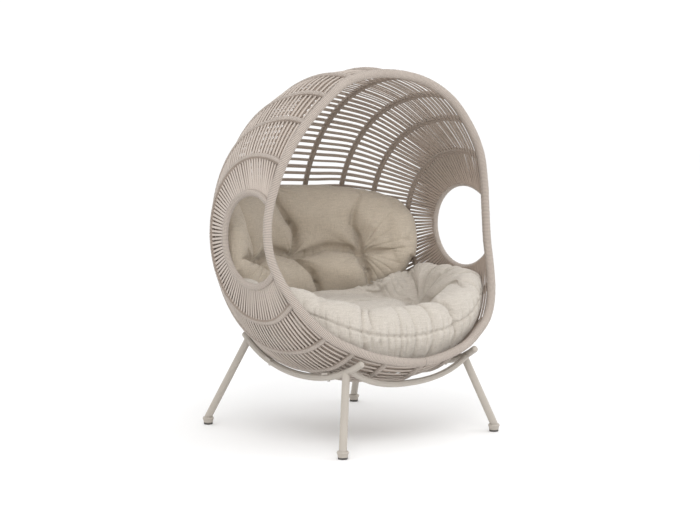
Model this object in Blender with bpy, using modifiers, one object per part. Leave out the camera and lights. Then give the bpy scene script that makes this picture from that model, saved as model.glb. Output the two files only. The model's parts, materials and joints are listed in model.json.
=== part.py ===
"""Woven egg-shaped garden lounge chair on a four-legged tube stand, with two loose cushions.

Metres, +Z up. The open front faces -Y, the origin is on the floor under the middle of the bounding box.
"left" is -X and "right" is +X, as seen by someone who stands in front of the chair.
"""
import math

import bmesh
import bpy
import numpy as np
from mathutils import Vector

NAME = "egg_lounge_chair"
GAP = 0.0003                        # clearance between touching pieces

# shell: every upright slice at one x is a circle about this centre
CENTER_Y = -0.1405
CENTER_Z = 0.801
SHELL_R = 0.644                     # radius of the middle slice
SHELL_HALF_WIDTH = 0.668            # where the slice radius would reach zero
WIDTH_POWER = 2.241
RADIUS_POWER = 1.188
FLATTENING = 0.075                  # how far the underside is pulled up at its lowest point
WEAVE_THICKNESS = 0.014             # two layers of rope, outside and inside the ribs

RIB_X = (0.0, 0.176, 0.317, 0.422, 0.520)
RIB_RADIUS = 0.0125                 # rod with its rope wrapping
RIB_INSET = 0.0065                  # its centre line below the outside of the weave
RING_X = 0.552                      # plane of the side openings
RING_R = 0.177
RING_TUBE = 0.0080
RING_WRAP = 0.0135
RIM_TUBE = 0.0115
RIM_WRAP = 0.018
EASE_ANGLE = math.radians(32)       # stretch over which a slice bends to meet the rim

# right half of the front rim, from the top middle to the bottom middle (x, y, z)
RIM_HALF = (
    (0.000, -0.2725, 1.425), (0.182, -0.2775, 1.401), (0.312, -0.2985, 1.332), (0.423, -0.2925, 1.228),
    (0.501, -0.2815, 1.114), (0.546, -0.2625, 0.991), (0.567, -0.2515, 0.866), (0.565, -0.2635, 0.749),
    (0.541, -0.3055, 0.645), (0.497, -0.3585, 0.550), (0.433, -0.4065, 0.469), (0.352, -0.4395, 0.413),
    (0.211, -0.4785, 0.356), (0.000, -0.4915, 0.324),
)
RIM_LOW_START = 7                   # knot where the lower half of the rim begins

# stand
RAIL_X = 0.308
RAIL_TIP_X = 0.296                  # the rails lean together at their front tips
RAIL_R = 0.0135
ARC_R = 0.0125
LEG_R = 0.015
STAND_OFFSET = 0.0235               # from the outside of the weave to the rail's centre line
RAIL_FRONT_Y = -0.4685
RAIL_REAR_Y = 0.2395
ARC_FRONT_Y = -0.4175
ARC_REAR_Y = 0.2175
LEG_FRONT_Y = -0.3945               # where a leg meets its rail
LEG_REAR_Y = 0.2175
FOOT_FRONT = (0.406, -0.4885)
FOOT_REAR = (0.4005, 0.3975)
PAD_R = 0.0185
PAD_H = 0.0077
CUP_TOP_R = 0.0235
CUP_BOTTOM_R = 0.0190
CUP_TOP_Z = 0.030
SADDLE_ANGLES = {"front": math.radians(-105), "rear": math.radians(-68)}
SADDLE_SIZE = (0.015, 0.034, 0.009)
SADDLE_SHIFT = 0.0105              # middle of a saddle outside the rail's centre line
SADDLE_RISE = 0.0140               # middle of a saddle above its rail's centre line
BOLT_R = 0.0065
BOLT_H = 0.0045

# cushions: drawn from one point inside the shell, so both follow its inside
EYE = Vector((0.0, -0.055, 0.800))
LOWER_LIP_PULL = 0.054              # how far the slices bend in to meet the rim at the bottom
CUSHION_INSET = 0.028               # outside of a cushion to the outside of the weave
SEAT_ANGLES = (0, 26, 40, 54, 62, 75, 90, 104, 115, 125, 140, 180)   # from the front, in degrees
SEAT_CREST_Z = (0.530, 0.543, 0.572, 0.604, 0.626, 0.642, 0.643, 0.634, 0.590, 0.560, 0.530, 0.525)
SEAT_VALLEY_R = (0.250, 0.262, 0.290, 0.320, 0.335, 0.350, 0.350, 0.345, 0.320, 0.290, 0.240, 0.200)
SEAT_VALLEY_Z = (0.490, 0.490, 0.492, 0.494, 0.495, 0.495, 0.495, 0.498, 0.502, 0.506, 0.512, 0.516)
SEAT_MIDDLE_Z = 0.510
RIM_MARGIN = 2.6                     # degrees between the rim and the edge of the seat cushion
SHOULDER_MARGIN = 9.0               # and more where the shell bends in beside the opening
SEAT_TURNS = 36                     # profiles round the seat cushion
BACK_HALF_ANGLE = 74.0
BACK_TOP_THICKNESS = 0.13
BACK_LOW_THICKNESS = 0.19
SPLIT_LOW = -46.0                   # degrees below the horizon where the two cushions meet, in the middle
SPLIT_SIDE = -17.0                  # and at the sides
SPLIT_GAP = 1.6
SPLIT_POWER = 5

COLOURS = {                         # colour, roughness, metallic
    "powder_coat": ((0.56, 0.51, 0.45, 1), 0.48, 0.1),
    "rope": ((0.55, 0.47, 0.40, 1), 0.85, 0.0),
    "rubber": ((0.07, 0.065, 0.06, 1), 0.8, 0.0),
    "steel": ((0.62, 0.60, 0.57, 1), 0.35, 0.9),
    "seat_fabric": ((0.72, 0.68, 0.61, 1), 0.95, 0.0),
    "back_fabric": ((0.45, 0.39, 0.31, 1), 0.95, 0.0),
}


def clearScene():
    for obj in list(bpy.data.objects):
        bpy.data.objects.remove(obj, do_unlink=True)


def makeCollection(name):
    group = bpy.data.collections.new(name)
    bpy.context.scene.collection.children.link(group)
    return group


def makeMaterials():
    made = {}
    for name, (colour, roughness, metallic) in COLOURS.items():
        mat = bpy.data.materials.new(name)
        mat.use_nodes = True
        shader = mat.node_tree.nodes["Principled BSDF"]
        shader.inputs["Base Color"].default_value = colour
        shader.inputs["Roughness"].default_value = roughness
        shader.inputs["Metallic"].default_value = metallic
        made[name] = mat
    return made


# ---- shell geometry ----

def sliceRadius(x):
    return SHELL_R * (1 - (abs(x) / SHELL_HALF_WIDTH) ** WIDTH_POWER) ** (1 / RADIUS_POWER)


def sliceSlope(x):
    step = 0.001
    return (sliceRadius(x + step) - sliceRadius(x - step)) / (2 * step)


def smoothClosed(knots, perSpan):
    """Catmull-Rom curve through a closed list of knots."""
    knots = np.array(knots)
    count = len(knots)
    t = np.linspace(0, 1, perSpan, endpoint=False)[:, None]
    out = []
    for i in range(count):
        p0, p1, p2, p3 = (knots[(i + k - 1) % count] for k in range(4))
        out.append(0.5 * (2 * p1 + (p2 - p0) * t + (2 * p0 - 5 * p1 + 4 * p2 - p3) * t ** 2
                          + (3 * p1 - p0 - 3 * p2 + p3) * t ** 3))
    return np.vstack(out)


def rimLoop(perSpan):
    mirrored = [(-x, y, z) for x, y, z in RIM_HALF[-2:0:-1]]
    return smoothClosed(list(RIM_HALF) + mirrored, perSpan)


FINE = 24
FINE_RIM = rimLoop(FINE)
HALF_COUNT = (len(RIM_HALF) - 1) * FINE
UPPER_RIM = FINE_RIM[:RIM_LOW_START * FINE + 1]
LOWER_RIM = FINE_RIM[RIM_LOW_START * FINE:HALF_COUNT + 1][::-1]


def placeOnRim(half, x):
    """Fraction along a half of the rim, from the middle outwards, where it reaches x."""
    reach = np.maximum.accumulate(half[:, 0])
    return float(np.interp(x, reach, np.arange(len(half)))) / (len(half) - 1)


def rimPoint(half, fraction):
    where = fraction * (len(half) - 1)
    i = min(int(where), len(half) - 2)
    return half[i] + (half[i + 1] - half[i]) * (where - i)


def ringPlaces():
    """Where the side ring's circle passes nearest to the rim, above and below."""
    out = []
    for half in (UPPER_RIM, LOWER_RIM):
        radius = np.hypot(half[:, 1] - CENTER_Y, half[:, 2] - CENTER_Z)
        out.append(int(np.argmin(np.abs(radius - RING_R))) / (len(half) - 1))
    return out


def easeWeight(distance):
    t = np.clip(distance / EASE_ANGLE, 0, 1)
    return 1 - t * t * (3 - 2 * t)


def slicePath(x, radius, ends, inset, count):
    """Points of a slice from the rim's top, round the back, to the rim's bottom, on the +X side."""
    angles, radii = [], []
    for end in ends:
        dy, dz = end[1] - CENTER_Y, end[2] - CENTER_Z
        angles.append(math.atan2(dz, dy))
        radii.append(math.hypot(dy, dz))
    a = np.linspace(angles[0], angles[1], count)
    top, low = easeWeight(angles[0] - a), easeWeight(a - angles[1])
    r = radius + (radii[0] - radius) * top + (radii[1] - radius) * low - inset * (1 - top) * (1 - low)
    px = x + (ends[0][0] - x) * top + (ends[1][0] - x) * low
    height = r * np.sin(a)
    pulled = np.where(height < 0, FLATTENING * (np.abs(height) / SHELL_R) ** 6 * (1 - low), 0)
    return np.column_stack((px, CENTER_Y + r * np.cos(a), CENTER_Z + height + pulled))


def ribEnds(x):
    return [rimPoint(half, placeOnRim(half, x)) for half in (UPPER_RIM, LOWER_RIM)]


def underShell(x, y, offset):
    """Height of the shell's underside at x, y, moved outwards by offset."""
    r = sliceRadius(x)
    skinDepth = math.sqrt(r ** 2 - (y - CENTER_Y) ** 2)
    depth = math.sqrt((r + offset) ** 2 - (y - CENTER_Y) ** 2)
    return CENTER_Z - depth + FLATTENING * (skinDepth / SHELL_R) ** 6


# ---- building blocks ----

def finish(obj, group, mat):
    for owner in list(obj.users_collection):
        owner.objects.unlink(obj)
    group.objects.link(obj)
    obj.data.materials.clear()
    obj.data.materials.append(mat)
    if group is cutters:
        obj.hide_render = True
        obj.display_type = "WIRE"
    return obj


def tubeCurve(name, points, radius, closed=False, capped=True, sides=8):
    data = bpy.data.curves.new(name, "CURVE")
    data.dimensions = "3D"
    data.bevel_depth = radius
    data.bevel_resolution = sides // 2 - 2
    data.use_fill_caps = capped and not closed
    spline = data.splines.new("POLY")
    spline.points.add(len(points) - 1)
    for target, p in zip(spline.points, points):
        target.co = (*p, 1)
    spline.use_cyclic_u = closed
    obj = bpy.data.objects.new(name, data)
    bpy.context.scene.collection.objects.link(obj)
    return obj


def tubeMesh(name, points, radius, group, mat, **options):
    curve = tubeCurve(name + "_curve", points, radius, **options)
    evaluated = curve.evaluated_get(bpy.context.evaluated_depsgraph_get())
    mesh = bpy.data.meshes.new_from_object(evaluated)
    bpy.data.objects.remove(curve, do_unlink=True)
    bm = bmesh.new()
    bm.from_mesh(mesh)
    bmesh.ops.remove_doubles(bm, verts=bm.verts, dist=0.00001)
    bmesh.ops.recalc_face_normals(bm, faces=bm.faces)
    bm.to_mesh(mesh)
    bm.free()
    mesh.name = name
    mesh.shade_smooth()
    obj = bpy.data.objects.new(name, mesh)
    return finish(obj, group, mat)


def cutWith(obj, tools):
    for tool in tools:
        cut = obj.modifiers.new("cut_" + tool.name, "BOOLEAN")
        cut.operation = "DIFFERENCE"
        cut.solver = "EXACT"
        cut.object = tool
    return obj


def solidify(obj, thickness):
    wall = obj.modifiers.new("wall", "SOLIDIFY")
    wall.thickness = thickness
    wall.offset = -1
    wall.use_even_offset = True
    return obj


def gridMesh(name, points, group, mat):
    """Open surface from a rows x columns array of points."""
    rows, columns = points.shape[:2]
    faces = []
    for i in range(rows - 1):
        for j in range(columns - 1):
            a = i * columns + j
            faces.append((a, a + 1, a + columns + 1, a + columns))
    mesh = bpy.data.meshes.new(name)
    mesh.from_pydata(points.reshape(-1, 3).tolist(), [], faces)
    mesh.shade_smooth()
    return finish(bpy.data.objects.new(name, mesh), group, mat)


def turned(name, profile, location, group, mat, axis=None, steps=16):
    """Profile of (radius, height) pairs, top to bottom, turned about the object's Z."""
    mesh = bpy.data.meshes.new(name)
    edges = [(i, i + 1) for i in range(len(profile) - 1)]
    mesh.from_pydata([(r, 0, z) for r, z in profile], edges, [])
    obj = finish(bpy.data.objects.new(name, mesh), group, mat)
    obj.location = location
    if axis is not None:
        obj.rotation_euler = axis.to_track_quat("Z", "Y").to_euler()
    screw = obj.modifiers.new("turn", "SCREW")
    screw.steps = steps
    screw.render_steps = steps
    screw.use_merge_vertices = True
    screw.merge_threshold = 0.00001
    return obj


# ---- stand ----

def railPath(side, count=20):
    points = []
    for y in np.linspace(RAIL_FRONT_Y, RAIL_REAR_Y, count):
        lean = max(0.0, (LEG_FRONT_Y - y) / (LEG_FRONT_Y - RAIL_FRONT_Y))
        x = RAIL_X + (RAIL_TIP_X - RAIL_X) * lean
        points.append((side * x, y, underShell(RAIL_X, y, STAND_OFFSET)))
    return points


def arcPath(y, count=19):
    return [(x, y, underShell(x, y, STAND_OFFSET)) for x in np.linspace(-RAIL_X, RAIL_X, count)]


def addCap(name, tip, inner, mat):
    """Domed plug on the end of a rail."""
    out = (Vector(tip) - Vector(inner)).normalized()
    r = RAIL_R - 0.0002
    profile = [(0.0, r * 0.62)]
    profile += [(r * math.sin(a), r * 0.62 * math.cos(a)) for a in (0.45, 0.9, 1.3)]
    profile += [(r, 0.0), (0.0, 0.0)]
    turned(name, profile, Vector(tip) + out * GAP * 2, parts, mat, out, 12)


def makeStand(mats):
    arcCutters = [tubeMesh(n, arcPath(y), ARC_R + GAP, cutters, mats["steel"])
                  for n, y in (("arc_cutter_front", ARC_FRONT_Y), ("arc_cutter_rear", ARC_REAR_Y))]
    railCutters = []
    for side, word in ((-1, "left"), (1, "right")):
        path = railPath(side)
        tubeMesh("side_rail_" + word, path, RAIL_R, parts, mats["powder_coat"], sides=10)
        railCutters.append(tubeMesh("rail_cutter_" + word, path, RAIL_R + GAP, cutters, mats["steel"],
                                    sides=10))
        addCap("rail_cap_front_" + word, path[0], path[1], mats["powder_coat"])
        addCap("rail_cap_rear_" + word, path[-1], path[-2], mats["powder_coat"])
    for word, y in (("front", ARC_FRONT_Y), ("rear", ARC_REAR_Y)):
        arc = tubeMesh("cross_arc_" + word, arcPath(y), ARC_R, parts, mats["powder_coat"])
        cutWith(arc, railCutters)
    ends = (("front", FOOT_FRONT, LEG_FRONT_Y), ("rear", FOOT_REAR, LEG_REAR_Y))
    for side, word, railCutter in ((-1, "left", railCutters[0]), (1, "right", railCutters[1])):
        for (end, foot, topY), arcCutter in zip(ends, arcCutters):
            makeLeg(end + "_" + word, side, foot, topY, [railCutter, arcCutter], mats)
    return railCutters


def makeLeg(label, side, foot, topY, tools, mats):
    ground = Vector((side * foot[0], foot[1], 0.0))
    top = Vector((side * RAIL_X, topY, underShell(RAIL_X, topY, STAND_OFFSET)))
    low = ground + (top - ground) * ((CUP_TOP_Z + GAP) / top.z)
    start = ground + (top - ground) * 0.04
    leg = tubeMesh("leg_" + label, [start, low.lerp(top, 0.5), top], LEG_R, parts, mats["powder_coat"],
                   sides=12)
    bpy.ops.mesh.primitive_cube_add(size=0.12, location=(low.x, low.y, CUP_TOP_Z + GAP - 0.06))
    floorCutter = bpy.context.object
    floorCutter.name = "leg_cutter_" + label
    finish(floorCutter, cutters, mats["steel"])
    cutWith(leg, [floorCutter] + tools)
    place = (low.x, low.y, 0.0)
    lip = CUP_TOP_Z - 0.005
    cup = [(0, CUP_TOP_Z), (CUP_TOP_R - 0.003, CUP_TOP_Z), (CUP_TOP_R, lip), (CUP_BOTTOM_R + 0.001, 0.016),
           (CUP_BOTTOM_R, PAD_H + GAP), (0, PAD_H + GAP)]
    turned("foot_cup_" + label, cup, place, parts, mats["powder_coat"])
    pad = [(0, PAD_H), (PAD_R, PAD_H), (PAD_R, 0.0015), (PAD_R - 0.0015, 0), (0, 0)]
    turned("foot_pad_" + label, pad, place, parts, mats["rubber"])


def makeSaddles(railCutters, ribCutters, mats):
    """Blocks that carry the second rib of each side on its rail, with a bolt head under the rail."""
    for side, word, rail in ((-1, "left", railCutters[0]), (1, "right", railCutters[1])):
        rib = ribCutters[word + "_2"]
        for end, angle in SADDLE_ANGLES.items():
            y = CENTER_Y + (sliceRadius(RAIL_X) + STAND_OFFSET) * math.cos(angle)
            railPoint = Vector((side * RAIL_X, y, underShell(RAIL_X, y, STAND_OFFSET)))
            ahead = Vector((side * RAIL_X, y + 0.01, underShell(RAIL_X, y + 0.01, STAND_OFFSET)))
            along = (ahead - railPoint).normalized()
            up = Vector((side, 0, 0)).cross(along).normalized()
            up = up if up.z > 0 else -up
            bpy.ops.mesh.primitive_cube_add(size=1)
            block = bpy.context.object
            block.name = "shell_saddle_%s_%s" % (end, word)
            block.scale = SADDLE_SIZE
            block.rotation_euler = (math.atan2(along.z, along.y), 0, 0)
            block.location = railPoint + up * SADDLE_RISE + Vector((side * SADDLE_SHIFT, 0, 0))
            finish(block, parts, mats["powder_coat"])
            cutWith(block, [rail, rib])
            head = [(0, BOLT_H), (BOLT_R * 0.6, BOLT_H * 0.9), (BOLT_R, BOLT_H * 0.35), (BOLT_R, -0.004),
                    (0, -0.004)]
            bolt = turned("shell_bolt_%s_%s" % (end, word), head, railPoint - up * RAIL_R, parts,
                          mats["steel"], -up, 12)
            cutWith(bolt, [rail])


# ---- shell ----

def makeRim(mats):
    loop = rimLoop(4)
    tubeMesh("rim_tube", loop, RIM_TUBE, parts, mats["powder_coat"], closed=True)
    half = (len(RIM_HALF) - 1) * 4
    endX = (GAP / 2, 0.004)                                      # square ends, so the halves meet flat
    for side, word in ((1, "right"), (-1, "left")):
        top = [(x, loop[0][1], loop[0][2]) for x in endX]
        low = [(x, loop[half][1], loop[half][2]) for x in reversed(endX)]
        run = np.vstack((top, loop[1:half], low)) * (side, 1, 1)
        sleeve = tubeMesh("rim_wrap_" + word, run, RIM_WRAP, parts, mats["rope"], capped=False, sides=10)
        solidify(sleeve, RIM_WRAP - RIM_TUBE - 0.0015)
    return tubeMesh("rim_cutter", loop, RIM_WRAP + GAP * 5, cutters, mats["steel"], closed=True, sides=12)


def makeRibs(rimCutter, mats):
    """One wrapped rod per slice; returns the cutters that clear the pieces beside them."""
    tools = {}
    for number, x in enumerate(RIB_X):
        slope = sliceSlope(x) if x else 0.0
        reach = RIB_INSET / math.hypot(1, slope)                 # inwards, square to the weave
        middle = x + reach * slope
        path = slicePath(middle, sliceRadius(x) - reach, ribEnds(middle), 0.0, 25)
        for side, word in ((1, "right"), (-1, "left")):
            if number == 0 and side < 0:
                tools["left_0"] = tools["right_0"]
                continue
            name = "rib_center" if number == 0 else "rib_%s_%d" % (word, number)
            rib = tubeMesh(name, path * (side, 1, 1), RIB_RADIUS, parts, mats["rope"])
            cutWith(rib, [rimCutter])
            label = "%s_%d" % (word, number)
            tools[label] = tubeMesh("rib_cutter_" + label, path * (side, 1, 1), RIB_RADIUS + GAP,
                                    cutters, mats["steel"])
    return tools


def ringEnds():
    return [rimPoint(half, f) for half, f in zip((UPPER_RIM, LOWER_RIM), ringPlaces())]


def makeRings(rimCutter, mats):
    path = slicePath(RING_X, RING_R, ringEnds(), 0.0, 29)
    for side, word in ((1, "right"), (-1, "left")):
        ring = tubeMesh("side_ring_" + word, path * (side, 1, 1), RING_TUBE, parts, mats["powder_coat"])
        cutWith(ring, [rimCutter])
        wrap = tubeMesh("side_ring_wrap_" + word, path * (side, 1, 1), RING_WRAP, parts, mats["rope"],
                        capped=False)
        solidify(wrap, RING_WRAP - RING_TUBE - 0.0015)
        cutWith(wrap, [rimCutter])


def bayColumns(number):
    """Slices that carry the weave between rib number-1 and rib number, or the side ring."""
    inner = RIB_X[number - 1]
    clear = RIB_RADIUS + 0.0020
    columns = []
    if number < len(RIB_X):
        outer = RIB_X[number]
        start = inner + clear / math.hypot(1, sliceSlope(inner)) if inner else clear
        stop = outer - clear / math.hypot(1, sliceSlope(outer))
        for x in np.linspace(start, stop, 4):
            columns.append((x, sliceRadius(x), ribEnds(x)))
        return columns
    innerRadius = sliceRadius(inner)
    width = math.hypot(RING_X - inner, innerRadius - RING_R)
    halves = (UPPER_RIM, LOWER_RIM)
    starts = [placeOnRim(half, inner) for half in halves]
    for t in np.linspace((clear + 0.0015) / width, 1 - (RING_WRAP + 0.0065) / width, 5):
        ends = [rimPoint(half, a + (b - a) * t) for half, a, b in zip(halves, starts, ringPlaces())]
        columns.append((inner + (RING_X - inner) * t, innerRadius + (RING_R - innerRadius) * t, ends))
    return columns


def makeWeave(rimCutter, ribCutters, mats):
    for number in range(1, len(RIB_X) + 1):
        paths = [slicePath(x, r, ends, 0.0, 25) for x, r, ends in bayColumns(number)]
        surface = np.stack(paths, axis=1)
        for side, word in ((1, "right"), (-1, "left")):
            points = surface * (side, 1, 1)
            if side < 0:                                         # keeps the faces pointing out
                points = points[:, ::-1]
            bay = gridMesh("weave_%s_%d" % (word, number), points, parts, mats["rope"])
            solidify(bay, WEAVE_THICKNESS)
            beside = [ribCutters["%s_%d" % (word, n)] for n in (number - 1, number) if n < len(RIB_X)]
            cutWith(bay, [rimCutter] + beside)


# ---- cushions ----

def insideShell(p, inset):
    """True for points inside the shell's surface moved in by inset."""
    x, y, z = np.abs(p[..., 0]), p[..., 1], p[..., 2]
    depth = np.abs(z - CENTER_Z)
    for _ in range(14):
        pulled = np.where(z < CENTER_Z, FLATTENING * (depth / SHELL_R) ** 6, 0)
        depth = np.minimum(np.abs(z - CENTER_Z) + pulled, SHELL_R)
    away = np.hypot(y - CENTER_Y, depth)
    narrow = np.clip(x / SHELL_HALF_WIDTH, 0, 0.999)
    slice_ = SHELL_R * (1 - narrow ** WIDTH_POWER) ** (1 / RADIUS_POWER)
    sideX = 0.566 - 0.463 * away ** 2
    drop = np.clip((0.866 - z) / 0.542, 0, 1)
    rimY = -0.2545 - 0.24 * drop ** 1.5
    forward = np.arctan2(CENTER_Y - y, CENTER_Z - z)             # 0 straight down, towards the front
    pull = LOWER_LIP_PULL * (1 - easeWeight(np.clip(forward - 0.07, 0, EASE_ANGLE)))
    slice_ = slice_ - np.where(forward < 2.2, pull, 0) * np.clip(1 - (x / 0.45) ** 2, 0, 1)
    inset = inset * (1 + np.where(z < CENTER_Z, 1.2 * (depth / SHELL_R) ** 6, 0))
    return (away < slice_ - inset) & (x < np.maximum(sideX, 0.50) - inset) & (y > rimY + 0.012)


def wallDistance(directions, inset):
    near = np.zeros(directions.shape[:-1])
    far = np.full_like(near, 0.9)
    for _ in range(24):
        middle = (near + far) / 2
        inside = insideShell(np.array(EYE) + directions * middle[..., None], inset)
        near = np.where(inside, middle, near)
        far = np.where(inside, far, middle)
    return near


def directionsFrom(azimuth, elevation):
    """Azimuth from +Y towards +X, elevation above the horizon, in degrees."""
    a, e = np.radians(azimuth), np.radians(elevation)
    return np.stack((np.sin(a) * np.cos(e), np.cos(a) * np.cos(e), np.sin(e)), axis=-1)


def splitElevation(azimuth):
    share = np.clip(np.abs(azimuth) / BACK_HALF_ANGLE, 0, 1)
    return SPLIT_LOW + (SPLIT_SIDE - SPLIT_LOW) * share ** SPLIT_POWER


def closedPad(name, points, faces, mat):
    """One closed skin from points and faces whose borders coincide."""
    mesh = bpy.data.meshes.new(name)
    mesh.from_pydata(points.reshape(-1, 3).tolist(), [], faces)
    bm = bmesh.new()
    bm.from_mesh(mesh)
    bmesh.ops.remove_doubles(bm, verts=bm.verts, dist=0.0002)
    bmesh.ops.dissolve_degenerate(bm, dist=0.0001, edges=bm.edges)
    bmesh.ops.recalc_face_normals(bm, faces=bm.faces)
    bm.to_mesh(mesh)
    bm.free()
    mesh.shade_smooth()
    return finish(bpy.data.objects.new(name, mesh), parts, mat)


def sheetFaces(rows, columns):
    """Faces of two open sheets, the second one turned over."""
    faces = []
    for sheet in (0, 1):
        for i in range(rows - 1):
            for j in range(columns - 1):
                k = (sheet * rows + i) * columns + j
                quad = (k, k + 1, k + columns + 1, k + columns)
                faces.append(quad if sheet == 0 else quad[::-1])
    return faces


def padSheets(directions, thickness, edgeShare):
    """Outer and inner points; edgeShare runs from 0 in the middle to 1 at the pad's edge."""
    outerDistance = wallDistance(directions, CUSHION_INSET) - 0.03 * edgeShare ** 8
    profile = np.sqrt(np.clip(1 - edgeShare ** 4, 0, 1))
    innerDistance = outerDistance - thickness * profile
    eye = np.array(EYE)
    return (eye + directions * outerDistance[..., None], eye + directions * innerDistance[..., None])


def blend(value, low, high):
    t = np.clip((value - low) / (high - low), 0, 1)
    return t * t * (3 - 2 * t)


def seatTilt(angle):
    """Furthest tilt of the seat's underside from straight down: to the rim, or to the back cushion."""
    rel = LOWER_RIM - np.array(EYE)
    rimAngle = np.degrees(np.arctan2(rel[:, 0], -rel[:, 1]))
    rimTilt = np.degrees(np.arctan2(np.hypot(rel[:, 0], rel[:, 1]), -rel[:, 2]))
    order = np.argsort(rimAngle)
    margin = RIM_MARGIN + SHOULDER_MARGIN * np.exp(-((angle - 61) / 8) ** 2)
    atRim = np.where(angle < 80, np.interp(angle, rimAngle[order], rimTilt[order]) - margin, 90)
    return np.minimum(atRim, 90 + splitElevation(180 - angle) - SPLIT_GAP)


def seatKnots(angle, lipR, lipZ):
    """Corner points (r, z) of the profiles from the lip over the roll to the middle of the seat."""
    crestZ, valleyR, valleyZ = (np.interp(angle, SEAT_ANGLES, table)
                                for table in (SEAT_CREST_Z, SEAT_VALLEY_R, SEAT_VALLEY_Z))
    rear = blend(angle, 98, 114)
    bulge = 0.012 * (1 - blend(angle, 35, 55))
    coneR = (EYE[2] - crestZ) * np.tan(np.radians(seatTilt(angle) - 1.0))
    crestR = (lipR - 0.072) * (1 - rear) + np.minimum(coneR, lipR - 0.02) * rear
    rise = crestZ - lipZ
    lowR = (lipR + bulge) * (1 - rear) + (lipR + (crestR - lipR) * 0.45) * rear
    highR = (lipR - 0.016) * (1 - rear) + (lipR + (crestR - lipR) * 0.85) * rear
    spots = ((lipR, lipZ), (lowR, lipZ + 0.42 * rise), (highR, lipZ + 0.84 * rise), (crestR, crestZ),
             (crestR * 0.55 + valleyR * 0.45, crestZ * 0.72 + valleyZ * 0.28 - 0.002),
             (valleyR, valleyZ), (valleyR * 0.5, valleyZ * 0.2 + SEAT_MIDDLE_Z * 0.8),
             (0 * angle, 0 * angle + SEAT_MIDDLE_Z))
    return np.array(spots).transpose(2, 0, 1)


def makeSeatCushion(mats):
    turn = np.arange(SEAT_TURNS) / SEAT_TURNS * 2 * math.pi      # 0 is +X, 90 degrees is +Y
    across, ahead = np.cos(turn), np.sin(turn)
    angle = np.degrees(np.arctan2(np.abs(across), -ahead))
    tilt = seatTilt(angle)[:, None] * np.sin(np.linspace(0, math.pi / 2, 9))[None, :]
    directions = directionsFrom(90 - np.degrees(turn)[:, None] + 0 * tilt, -90 + tilt)
    wall = wallDistance(directions, CUSHION_INSET)
    r, z = wall * np.sin(np.radians(tilt)), EYE[2] - wall * np.cos(np.radians(tilt))
    profile = np.concatenate((np.stack((r, z), axis=-1), seatKnots(angle, r[:, -1], z[:, -1])[:, 1:]), axis=1)
    points = np.stack((EYE[0] + profile[..., 0] * across[:, None], EYE[1] + profile[..., 0] * ahead[:, None],
                       profile[..., 1]), axis=-1)
    faces = []
    rows, columns = points.shape[:2]
    for i in range(rows):
        k = (i + 1) % rows
        for j in range(columns - 1):
            faces.append((i * columns + j, i * columns + j + 1, k * columns + j + 1, k * columns + j))
    closedPad("seat_cushion", points, faces, mats["seat_fabric"])


def makeBackCushion(mats):
    across = np.sin(np.linspace(-1, 1, 17) * math.pi / 2)[None, :]
    upward = np.sin(np.linspace(-1, 1, 11) * math.pi / 2)[:, None]
    azimuth = BACK_HALF_ANGLE * across
    top = -12 + 31 * (1 - np.abs(across) ** 2.8) ** (1 / 2.8)
    low = splitElevation(azimuth) + SPLIT_GAP
    middle, half = (top + low) / 2, np.maximum((top - low) / 2, 0.8)
    directions = directionsFrom(azimuth + 0 * upward, middle + half * upward)
    thickness = BACK_TOP_THICKNESS + (BACK_LOW_THICKNESS - BACK_TOP_THICKNESS) * (1 - upward) / 2
    share = (1 - (1 - np.abs(across) ** 4) * (1 - np.abs(upward) ** 4)) ** 0.25
    outer, inner = padSheets(directions, thickness + 0 * across, share)
    closedPad("back_cushion", np.stack((outer, inner)), sheetFaces(*outer.shape[:2]), mats["back_fabric"])


clearScene()
parts = makeCollection(NAME)
cutters = makeCollection("cutters")
materials = makeMaterials()
rails = makeStand(materials)
rimTool = makeRim(materials)
ribTools = makeRibs(rimTool, materials)
makeRings(rimTool, materials)
makeWeave(rimTool, ribTools, materials)
makeSaddles(rails, ribTools, materials)
makeSeatCushion(materials)
makeBackCushion(materials)
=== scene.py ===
import json
import math

import bmesh
import bpy
import numpy as np
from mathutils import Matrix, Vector


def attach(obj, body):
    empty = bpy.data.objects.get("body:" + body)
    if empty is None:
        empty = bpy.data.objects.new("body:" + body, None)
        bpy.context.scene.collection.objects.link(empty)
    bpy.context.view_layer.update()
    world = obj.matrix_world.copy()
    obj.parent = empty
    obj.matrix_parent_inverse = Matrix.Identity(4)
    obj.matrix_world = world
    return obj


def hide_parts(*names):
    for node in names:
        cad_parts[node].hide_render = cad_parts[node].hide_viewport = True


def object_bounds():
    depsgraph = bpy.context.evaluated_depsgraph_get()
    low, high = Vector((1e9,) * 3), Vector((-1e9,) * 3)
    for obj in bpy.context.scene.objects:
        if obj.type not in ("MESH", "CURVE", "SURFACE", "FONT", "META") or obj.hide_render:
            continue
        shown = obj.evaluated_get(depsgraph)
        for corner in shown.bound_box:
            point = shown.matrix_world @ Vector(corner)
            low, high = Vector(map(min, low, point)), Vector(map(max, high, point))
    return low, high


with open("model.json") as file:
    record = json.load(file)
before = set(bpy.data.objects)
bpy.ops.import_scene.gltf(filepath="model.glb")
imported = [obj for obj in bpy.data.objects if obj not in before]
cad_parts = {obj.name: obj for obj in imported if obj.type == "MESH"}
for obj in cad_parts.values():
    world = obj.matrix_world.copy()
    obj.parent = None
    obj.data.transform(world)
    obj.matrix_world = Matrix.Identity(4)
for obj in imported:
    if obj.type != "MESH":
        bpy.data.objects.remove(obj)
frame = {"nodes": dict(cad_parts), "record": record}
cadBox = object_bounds()

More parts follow.
